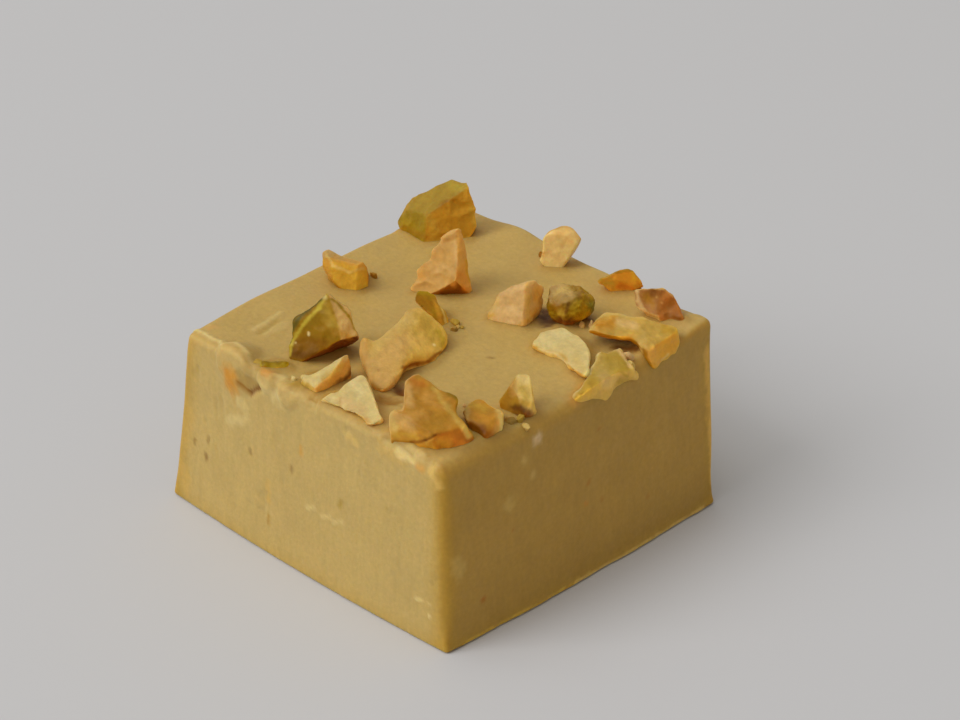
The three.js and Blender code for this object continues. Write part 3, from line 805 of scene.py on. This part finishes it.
NUTS["front_lump"] = {
    "slot": "nut_roasted", "rounds": BLENDED_ROUNDS,
    "pulls": [
        (1.4, 1.4, .8, .7, .25), (2.2, -1.7, .8, .1, -.5), (-2.4, .2, .6, 0, .45), (-1.2, -2.3, .7, 0, .25),
        (.1, -2.6, .9, 0, .4), (-.7, 2.7, .8, .05, .35),
    ],
    "faces": [
        (80, 45, TOFFEE), (215, 50, TOFFEE), (320, 50, BRICK), (35, -5, MOSS), (268, 10, AMBER),
        (180, 0, PEACH), (115, -10, PEACH), (69, -15, GOLD),
    ],
    "strokes": [
        (.45, PEACH, .8, -1.3, 2.2, -1.2, 1.2), (.45, EMBER, .6, -.9, 2.6, -.5, 2.5),
        (.5, APRICOT, .4, 0, 1.6, .1, 1.5), (.45, STRAW, .8, -2.5, .5, -2.4, -.8),
        (.6, APRICOT, .5, -1.6, -.2, -.5, .5), (.6, PEACH, .7, -2, 0, -1.1, -.6),
        (.4, MOSS, .9, .8, 2.5, 2.3, 1.5), (.4, MOSS, .7, 2.3, 1.5, 2.4, .6),
        (.25, GOLD, .8, .4, 2.2, 1.5, .8), (.28, GOLD, .9, 1.5, .8, 2.9, -1.1),
        (.6, AMBER, .6, .3, -.4, 1.2, .2), (.6, AMBER, .6, .9, -1.6, 2.6, -2.1),
        (.7, EMBER, .8, 2.1, -1.9, 2.4, -2.1), (.35, HONEY, .5, -2.3, -1.2, -.8, -1.2),
        (.14, ROAST, .8, -2.4, -1.6, -1.2, -1.7), (.16, BROWN, .8, -1.2, -1.65, -.1, -1.5),
        (.12, BROWN, .75, -.1, -1.5, .7, -1.1),
    ],
    "dents": [(-.1, -1.5, .7, -1.1, .15, .12)],
}
NUTS["front_bit"] = {
    "slot": "nut_roasted", "rounds": BLENDED_ROUNDS,
    "pulls": [(.3, -.5, .9, 0, -.3), (1.2, .2, .5, .1, .3)],
    "slides": [(.2, -.6, .9, 0, 1.1)],
    "faces": [(90, 45, TOFFEE), (281, 60, BRICK), (9, 0, GOLD), (210, 0, ROAST), (143, -5, CARAMEL)],
    "strokes": [
        (.45, HONEY, .8, -.8, 1.2, 0, 1), (.35, STRAW, .8, 1.1, .7, 1.4, -.7),
        (.7, BROWN, .9, -.6, -.5, .6, -1), (.5, ORANGE, .7, -.4, .4, .6, .1),
        (.3, STRAW, .6, -1.2, .9, -1.2, .1), (.3, ROAST, .6, -1.2, -.4, -.7, -.9),
    ],
}
NUTS["upright_chip"] = {
    "slot": "nut_roasted",
    "pulls": [(.5, -.8, .7, 0, -.3)],
    "slides": [(.3, -.8, .8, 0, .9)],
    "faces": [(60, 60, STRAW), (200, 50, AMBER), (285, 50, BROWN), (145, 0, OLIVE), (9, 0, GOLD)],
    "strokes": [
        (.5, CREAM, .7, 0, 1.5, .6, 1.3), (.2, STRAW, .6, .75, 1.2, .8, 0),
        (.35, CARAMEL, .8, -.7, 1.4, -.5, .3), (.4, OLIVE, .6, .2, .6, .5, .1),
        (.7, BARK, .85, -.3, -.7, .6, -1.2), (.35, MUSTARD, .7, -.4, -.3, .7, -.4),
        (.4, ROAST, .6, -1.3, -.6, -1.2, -1.2),
    ],
}
NUTS["cream_wedge"] = {
    "slot": "nut_pale", "rounds": BLENDED_ROUNDS,
    "pulls": [(0, 1.5, .8, 0, -.2), (-1.3, .6, .7, -.3, .05), (-1.8, -1, .5, -.3, -.1)],
    "faces": [(201, 60, BLUSH), (345, 40, PEACH), (255, 10, KHAKI), (90, -10, BLUSH), (151, -10, PEACH)],
    "strokes": [
        (.9, BLUSH, .5, -.4, -.6, .2, -1.3), (.35, STRAW, .6, -2.1, -1.1, -1.5, 0),
        (.45, ROAST, .7, 1.6, 1, 1.8, 0), (.3, GOLD, .6, .9, .3, .8, -1.5),
        (.3, TOFFEE, .5, 1.3, 1.2, 1.4, .2), (.22, AMBER, .5, .2, -1.8, .9, -1.5),
        (.35, PEACH, .6, .8, 1.2, 1.3, 1.1), (.35, ROAST, .7, 1.2, -1, 1.6, -.6),
        (.3, HONEY, .6, -2.2, -1.2, -1.8, -1.1),
    ],
}
NUTS["green_round"] = {
    "slot": "nut_green", "rounds": BLENDED_ROUNDS, "rough": .22, "break": .1,
    "pulls": [(1.6, 1.2, .6, -.3, -.2), (-1.6, 1.2, .6, -.15, .15), (.1, 1.6, .9, 0, -.45)],
    "faces": [
        (125, 35, TAUPE), (300, 60, MOSS), (0, 0, FERN), (270, 0, BROWN), (200, 20, MOSS), (60, -20, MOSS),
    ],
    "strokes": [
        (.45, STRAW, .7, -1.3, .9, -.2, 1), (.5, KHAKI, .6, -1.3, .2, 0, .1),
        (.4, LIME, .3, 0, -.3, .6, .1), (.45, ROAST, .7, -1.3, -.3, -.8, -.4),
        (.5, FERN, .85, 1.2, .6, 1.5, -.6), (.4, MOSS, .6, .2, 1.1, .6, .4),
        (.7, UMBER, .85, .4, 1.3, 1.3, .7), (.25, BARK, .7, -.4, -.7, -.2, -.2),
        (.3, UMBER, .6, .9, .2, 1, -.4), (.3, OLIVE, .7, -.9, -.6, -.8, -.9),
        # The bark stroke from (-1.3, -1.4) and the umber stroke on the next row are painted shadow under the
        # nut
        (.25, BARK, .5, .6, .6, .7, .4), (.5, BARK, .9, -1.3, -1.4, .2, -1.4),
        (.45, UMBER, .85, .4, -1.2, 1.5, -.9),
    ],
}
NUTS["pale_flake"] = {
    "slot": "nut_pale", "rounds": BLENDED_ROUNDS, "break": .05,
    "pulls": [(.2, -.95, .4, -.05, .25), (-2.4, .3, .5, 0, .25), (.5, 1.4, .4, .05, -.2)],
    "slides": [(1.1, -.9, .8, .1, 2), (.45, -1, .5, -.35, .6)],
    "faces": [(100, 35, CREAM), (240, 10, GOLD), (217, 48, STRAW), (0, 10, CREAM)],
    "strokes": [
        (.8, IVORY, .5, -1.8, .8, 0, 1.3), (.15, IVORY, .9, -2.2, .1, -.8, -.3),
        (.15, IVORY, .8, -.8, -.3, 0, -1.1), (.5, STRAW, .4, .5, -.8, 1, -1.6),
        (.15, APRICOT, .6, .2, -1.4, .8, -1.9),
    ],
}
NUTS["rim_flake"] = {
    "slot": "nut_green", "break": .3,
    "pulls": [
        (-1.4, -1.3, .9, -.6, -.5), (2.3, -.2, .6, .35, -.25), (-.1, 1.3, .5, .15, .35),
        (1.4, 1.1, .5, .05, .45), (.4, -1.5, .7, .1, -.55),
    ],
    "slides": [(-1.5, -1.4, 1, -.5, 1.2)],
    "faces": [(80, 35, OLIVE), (333, 38, KHAKI), (153, 0, CREAM), (100, -5, CREAM)],
    "strokes": [
        # The ivory line on this row is a painted highlight along the left edge
        (.25, IVORY, .9, -2.2, -1.6, -.9, .1, -.3, 1.4), (.8, STRAW, .45, -.3, .9, .3, -.5),
        (.5, OLIVE, .7, .9, 1.2, 1.6, .5), (.8, HONEY, .7, -2.6, -2.4, -.8, -1.2),
        (.5, TAUPE, .5, .3, -.2, .5, -.9), (.5, MOSS, .5, 1.5, -.8, 2.2, -1),
        (.3, GOLD, .6, 2.3, .3, 2.8, -.2), (.14, MOSS, .5, 1.6, -.1, 2, -.4),
        # The blush line is a painted highlight along the upper right edge
        (.2, BLUSH, .8, 1.4, 1.6, 2.3, .3),
    ],
}
NUTS["butterfly"] = {
    "slot": "nut_roasted", "rounds": 2 * BLENDED_ROUNDS,
    "pulls": [(.4, -.2, .5, 0, -.35), (1.7, -2, .7, .1, -.3)],
    "faces": [
        (85, 40, GOLD), (334, 37, ORANGE), (250, 10, ROAST), (270, -30, BARK), (139, 0, STRAW),
        (18, 0, HONEY), (322, 5, HONEY),
    ],
    "strokes": [
        (.7, ORANGE, 1, -2.5, .8, -1.5, .9), (.2, STRAW, .7, -2, 1.7, .5, 1.5),
        (.2, STRAW, .7, .5, 1.4, 3.3, .9), (.5, BLUSH, .6, -.7, 1, .1, .8),
        (.3, STRAW, .6, -3, .7, -2.9, .6), (.2, ROAST, .6, -2.2, -.1, -.3, -.6),
        (.5, MUSTARD, .7, 2.6, .5, 3.4, .2), (.5, APRICOT, .5, 1.2, -1, 1.8, -1.8),
        (.12, STRAW, .6, 2.3, -1.85, 2.75, -1.4), (.3, STRAW, .3, .8, .3, .9, -.8),
    ],
    "dents": [(-1.6, .9, -.2, .7, .9, .3)],
}
NUTS["red_chunk"] = {
    "slot": "nut_skin", "rounds": BLENDED_ROUNDS,
    "pulls": [(-1.6, .6, .6, -.3, .35)],
    "slides": [(1.5, -.8, .7, .15, 1.1)],
    "faces": [
        (330, 55, RUST), (190, 45, RUST), (234, 10, CREAM), (90, -15, PEACH), (117, -5, BLUSH),
        (18, 0, BRICK), (263, 10, BRICK),
    ],
    "strokes": [
        (.2, BLUSH, .9, -2, 1.1, -1.8, .2, -1.25, -.8), (.18, PEACH, .8, -1.25, -.8, -.3, -1.15),
        (.14, PEACH, .7, -1.8, 1.15, .2, 1.1), (.14, PEACH, .6, .2, 1.05, 1.2, .35),
        (.5, TOFFEE, .8, -1.2, .5, -.6, -.4), (.1, PEACH, .8, 0, 0, .05, -.05),
        (.1, PEACH, .6, -.4, .4, -.35, .35), (.6, RUST, .6, -.2, -.4, .5, .5),
        (.4, BRICK, .5, .2, -.4, .9, .2), (.3, BROWN, .8, .4, -1.1, 1.5, -1.3),
        (.4, BRICK, .6, .9, -.2, 1.3, -.8),
    ],
    "dents": [(-.3, .2, .5, -.3, 1.1, .5)],
}
NUTS["right_sliver"] = {
    "slot": "nut_roasted",
    "pulls": [(-1.2, -.6, .5, 0, .35), (-1.6, -.1, .4, 0, .2)],
    "faces": [(281, 60, ORANGE), (110, -5, OLIVE), (37, 0, AMBER), (293, 10, EMBER)],
    "strokes": [
        (.5, OLIVE, .85, -1.6, .1, -.8, 0), (.35, EMBER, .7, -.1, -.35, .9, -.6),
        (.35, MUSTARD, .6, .9, .6, 1, .2), (.16, MOSS, .6, -.4, .65, .9, .9),
    ],
}
NUTS["back_flake"] = {
    "slot": "nut_roasted", "rounds": 2, "wave": .06, "break": .04,
    "pulls": [(-1.5, -1, .8, .35, 0), (-.9, .7, .6, -.3, 0)],
    "faces": [(260, 65, SHELL), (114, -5, PEACH), (37, -5, PEACH), (151, -5, PEACH)],
    "strokes": [
        (.5, APRICOT, .5, -.2, 1.2, .5, 1.1), (.2, ROAST, .6, -1.3, -.7, -1.25, -.5),
        (.7, BLUSH, .4, -.9, 0, -.4, -.6), (.4, APRICOT, .4, .5, .4, 1.2, .8),
    ],
}
NUTS["left_sliver"] = {
    "slot": "nut_skin", "rounds": BLENDED_ROUNDS, "rough": .12,
    "pulls": [(1.4, .2, .5, -.2, -.2), (-.4, -.4, .5, 0, -.2), (.2, .5, 1.2, 0, -.2)],
    "faces": [(275, 40, ROAST), (80, 40, LIME)],
    "strokes": [
        (.2, MOSS, .7, -.9, .4, .9, .45), (.28, ORANGE, .6, .1, -.2, .8, -.2),
        (.28, LEAF, .6, -1.3, .2, -1.2, .1),
    ],
}


def facing(clock, turned):
    """Unit vector of a face's direction in the picture's axes."""
    clock, turned = math.radians(clock), math.radians(turned)
    flat = math.cos(turned)
    return np.array([math.cos(clock) * flat, math.sin(clock) * flat, math.sin(turned)])


def close_mesh(mesh):
    """A close mesh of a solid, made only of quads."""
    rough = placed("rough", mesh)
    remesh = rough.modifiers.new("grid", "REMESH")
    remesh.mode = "VOXEL"
    remesh.voxel_size = NUT_GRID
    fine = rough.evaluated_get(bpy.context.evaluated_depsgraph_get()).to_mesh()
    points = np.empty(len(fine.vertices) * 3)
    fine.vertices.foreach_get("co", points)
    corners = np.empty(len(fine.loops), np.int32)
    fine.loops.foreach_get("vertex_index", corners)
    bpy.data.objects.remove(rough)
    return points.reshape(-1, 3), corners.reshape(-1, 4)


def fine_nut(node, middle, fills):
    """A close mesh of a nut's solid, in millimetres, with creases filled along lines of the picture."""
    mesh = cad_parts[node].data.copy()
    mesh.transform(Matrix.Scale(1 / MM, 4))
    points, faces = close_mesh(mesh)
    for *line, width in fills:
        seen = (points - middle) @ PICTURE.T
        near = stroke(seen[:, :2], line[:2], line[2:], width) > FILLED
        solid = bmesh.new()
        solid.from_mesh(mesh)
        hull = bmesh.ops.convex_hull(solid, input=[solid.verts.new(place) for place in points[near]])
        inside = set(hull["geom_interior"] + hull["geom_unused"])
        bmesh.ops.delete(solid, geom=list(inside), context="VERTS")
        solid.to_mesh(mesh)
        solid.free()
        points, faces = close_mesh(mesh)
    bpy.data.meshes.remove(mesh)
    return points, faces


def fitted(points, wanted):
    """Stretches points to the box of the wanted ones."""
    low, high = points.min(axis=0), points.max(axis=0)
    wanted_low, wanted_high = wanted.min(axis=0), wanted.max(axis=0)
    return wanted_low + (points - low) / (high - low) * (wanted_high - wanted_low)


def pulled(seen, pulls, second):
    """Shifts what lies at places of the picture, and behind them, to the right and in a second direction."""
    for right, up, reach, shift_right, shift in pulls:
        gap = np.hypot(seen[:, 0] - right, seen[:, 1] - up)
        share = np.exp(-(gap / reach) ** 2)
        seen = seen + share[:, None] * (np.array([shift_right, 0, 0]) + shift * second)
    return seen


def nut_colours(paint, seen, normals, seed):
    """Colours of a nut as the photograph shows them, for points in the picture's axes from its middle."""
    directions = np.array([facing(clock, turned) for clock, turned, _ in paint["faces"]])
    closeness = normals @ directions.T
    closeness += NUT_MOTTLE * np.column_stack([fractal(seen, 0.8, seed + i) for i in range(len(directions))])
    weight = np.exp(NUT_SHARPNESS * (closeness - closeness.max(axis=1, keepdims=True)))
    weight /= weight.sum(axis=1, keepdims=True)
    colours = weight @ np.array([colour for _, _, colour in paint["faces"]])
    ragged = wander(seen, NUT_SEEDS, seed)
    turned = ramp(normals[:, 2], -0.4, 0.1)
    for width, colour, share, *line in paint["strokes"]:
        places = seen[:, :2] + RAGGED * min(width, 0.5) * ragged
        stops = np.reshape(line, (-1, 2))
        for start, end in zip(stops, stops[1:]):
            colours = blend(colours, colour, share * stroke(places, start, end, width) * turned)
    return colours * (1 + NUT_MOTTLE * fractal(seen, 0.5, seed + NUT_SEEDS["mottle"]))[:, None]


def make_nut(name, paint, seed):
    """Dresses one nut. Places are right and up from its middle in the picture, in millimetres.

    rounds, wave, rough and break: how often it is smoothed, and how deep its relief is
    fills (place, place, width): lines along which its creases are filled
    pulls (place, reach, shift right, shift up): draw the outline in or out near a place
    slides (place, reach, shift right, shift nearer): draw it along the level
    faces (clock, facing, colour): where a face looks, from the right and towards the viewer, in degrees
    strokes (width, colour, share, place, place, ...): painted from each place to the next
    dents (place, place, width, depth): pressed in away from the viewer
    """
    node = "nut_" + name
    low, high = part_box(node)
    middle = np.array((low + high) / 2) / MM
    cut_points, faces = fine_nut(node, middle, paint.get("fills", []))
    points = fitted(smoothed(cut_points, faces, paint.get("rounds", NUT_ROUNDS)), cut_points)
    seen = pulled((points - middle) @ PICTURE.T, paint.get("pulls", []), UP)
    points = middle + pulled(seen, paint.get("slides", []), NEARER) @ PICTURE
    broad = point_normals(smoothed(points, faces, NUT_ROUNDS), faces)
    sharp = np.sum((points - smoothed(points, faces, EDGE_ROUNDS)) * broad, axis=1)
    edges = ramp(sharp, *EDGE_STANDS)
    seen = (points - middle) @ PICTURE.T
    shown = nut_colours(paint, seen, broad @ PICTURE.T, seed)
    bitten = edges * ramp(fractal(points, NUT_CHIP_SIZE, seed + NUT_SEEDS["chips"], 2), -0.1, 0.5)
    # Sharp edges are paler: partly broken edges, partly a painted highlight
    shown = blend(shown, np.minimum(EDGE_PALER * shown, EDGE_PALEST), EDGE_SHARE * (edges - bitten))
    colours = own_colours(shown, daylight(broad))
    ridges = np.abs(fractal(points, NUT_BREAK_SIZE, seed + NUT_SEEDS["breaks"], 2))
    lift = paint.get("wave", NUT_WAVE) * fractal(points, NUT_WAVE_SIZE, seed + NUT_SEEDS["wave"])
    lift += paint.get("rough", NUT_GRAIN) * fractal(points, NUT_GRAIN_SIZE, seed + NUT_SEEDS["grain"])
    lift -= paint.get("break", NUT_BREAK) * ridges + NUT_CHIP * bitten
    points = points + broad * lift[:, None]
    turned = ramp(broad @ PICTURE[2], 0, 0.4)
    for *line, width, depth in paint.get("dents", []):
        pressed = depth * turned * stroke(seen[:, :2], line[:2], line[2:], width)
        points = points - pressed[:, None] * PICTURE[2]
    add_piece(name + "_nut", points, faces, colours, paint["slot"], [node])
    return points


# Crumbs on the top: place along X and Y, length, width, height, turn in degrees, colour
CRUMBS = [
    ("pale_crumbs", "nut_pale", [
        (-1.5, -13.3, .8, .6, .5, 30, CREAM), (-2.1, -13.8, .6, .5, .4, 0, CREAM),
        (.9, .3, .5, .4, .4, 45, STRAW), (9.5, -7.5, .4, .3, .3, 0, BLUSH),
        (5.8, 6.4, .6, .4, .35, 60, PEACH), (6.5, 6.9, .7, .4, .4, 20, BLUSH),
        (7.2, 7.2, .6, .4, .6, 0, PEACH), (7.9, 7.6, .6, .4, .7, 10, BLUSH),
        (13.5, 5.7, 1, .5, .5, 45, BLUSH), (14.1, 5.3, .8, .5, .5, 40, STRAW),
    ]),
    ("roasted_crumbs", "nut_roasted", [
        (-2.9, 13.3, .6, .5, .5, 0, ROAST), (-9.95, 1.65, .7, .5, .5, 30, AMBER),
    ]),
    ("green_crumbs", "nut_green", [
        (.3, .5, .9, .6, .5, 20, OLIVE), (.9, -.1, .6, .5, .4, 70, KHAKI),
        (1.2, .6, .5, .4, .3, 0, OLIVE), (13.5, -6.7, 1.2, .6, .5, 60, KHAKI),
        (13.8, -6.1, 1, .5, .5, 95, OLIVE), (14.3, -6, .9, .5, .4, 10, STRAW),
        (-5.7, -14, .9, .6, .35, 0, OLIVE),
    ]),
]


def unit_ball():
    made = bmesh.new()
    bmesh.ops.create_icosphere(made, subdivisions=4, radius=1)
    points = np.array([vertex.co for vertex in made.verts])
    faces = np.array([[vertex.index for vertex in face.verts] for face in made.faces])
    made.free()
    return points, faces


def broken(ball, seed):
    """A ball with flat faces broken off it, and a little rough."""
    picks = np.random.default_rng(seed)
    points = ball
    for _ in range(CRUMB_FACES):
        out = picks.normal(size=3)
        out /= np.linalg.norm(out)
        beyond = np.maximum(points @ out - picks.uniform(*CRUMB_CUTS), 0)
        points = points - beyond[:, None] * out
    points = points * (1 + CRUMB_ROUGH * fractal(ball + 7 * seed, 0.6, 3))[:, None]
    return points / np.abs(points).max(axis=0)


def make_crumbs(block_points, on):
    ball, ball_faces = unit_ball()
    top = block_points[on["top"] > 0.2]
    light = daylight(np.array([[0, 0, 1]]))
    for name, slot, rows in CRUMBS:
        points, faces, colours = [], [], []
        for i, (x, y, length, width, height, turn, colour) in enumerate(rows):
            place = top[np.argmin(np.hypot(top[:, 0] - x, top[:, 1] - y))]
            cosine, sine = math.cos(math.radians(turn)), math.sin(math.radians(turn))
            along = np.array([cosine, sine, 0]) * length / 2
            across = np.array([-sine, cosine, 0]) * width / 2
            points.append(place + broken(ball, i) @ np.array([along, across, [0, 0, height]]))
            faces.append(ball_faces + i * len(ball))
            mottle = 1 + CRUMB_MOTTLE * fractal(ball + 9 * i, 0.8, 5)
            colours.append(own_colours(colour, light) * mottle[:, None])
        points, faces, colours = np.concatenate(points), np.concatenate(faces), np.concatenate(colours)
        add_piece(name, points, faces, colours, slot)


def make_floor():
    bpy.ops.mesh.primitive_plane_add(size=FLOOR_SIZE)
    floor = bpy.context.object
    floor.name = "floor"
    material = bpy.data.materials.new("floor")
    material.use_nodes = True
    shader = material.node_tree.nodes["Principled BSDF"]
    shader.inputs["Base Color"].default_value = (*FLOOR, 1)
    shader.inputs["Roughness"].default_value = FLOOR_ROUGHNESS
    floor.data.materials.append(material)


def add_light():
    for name, source in LIGHTS.items():
        light = bpy.data.lights.new(name, "AREA")
        light.shape = "SQUARE"
        light.size = source["size"]
        light.energy = source["power"]
        lamp = placed(name, light)
        lamp.location = source["from"] * source["distance"]
        lamp.rotation_euler = source["from"].to_track_quat("Z", "Y").to_euler()
    world = bpy.data.worlds.new("sky")
    world.use_nodes = True
    background = world.node_tree.nodes["Background"]
    background.inputs["Color"].default_value = (*SKY_COLOUR, 1)
    background.inputs["Strength"].default_value = SKY_STRENGTH
    bpy.context.scene.world = world
    bpy.context.scene.view_settings.view_transform = "Standard"


def add_camera():
    lens = bpy.data.cameras.new("camera")
    lens.lens = CAMERA_LENS
    lens.sensor_width = CAMERA_SENSOR
    lens.clip_start = 0.01
    camera = placed("camera", lens)
    camera.location = CAMERA_AT
    camera.rotation_euler = (math.radians(90 - CAMERA_ELEVATION), 0, math.radians(CAMERA_AZIMUTH))
    bpy.context.scene.camera = camera


nut_points = [make_nut(name, paint, 100 * i) for i, (name, paint) in enumerate(NUTS.items())]
block_points, on_faces = make_block(np.concatenate(nut_points))
make_crumbs(block_points, on_faces)
make_floor()
add_light()
add_camera()
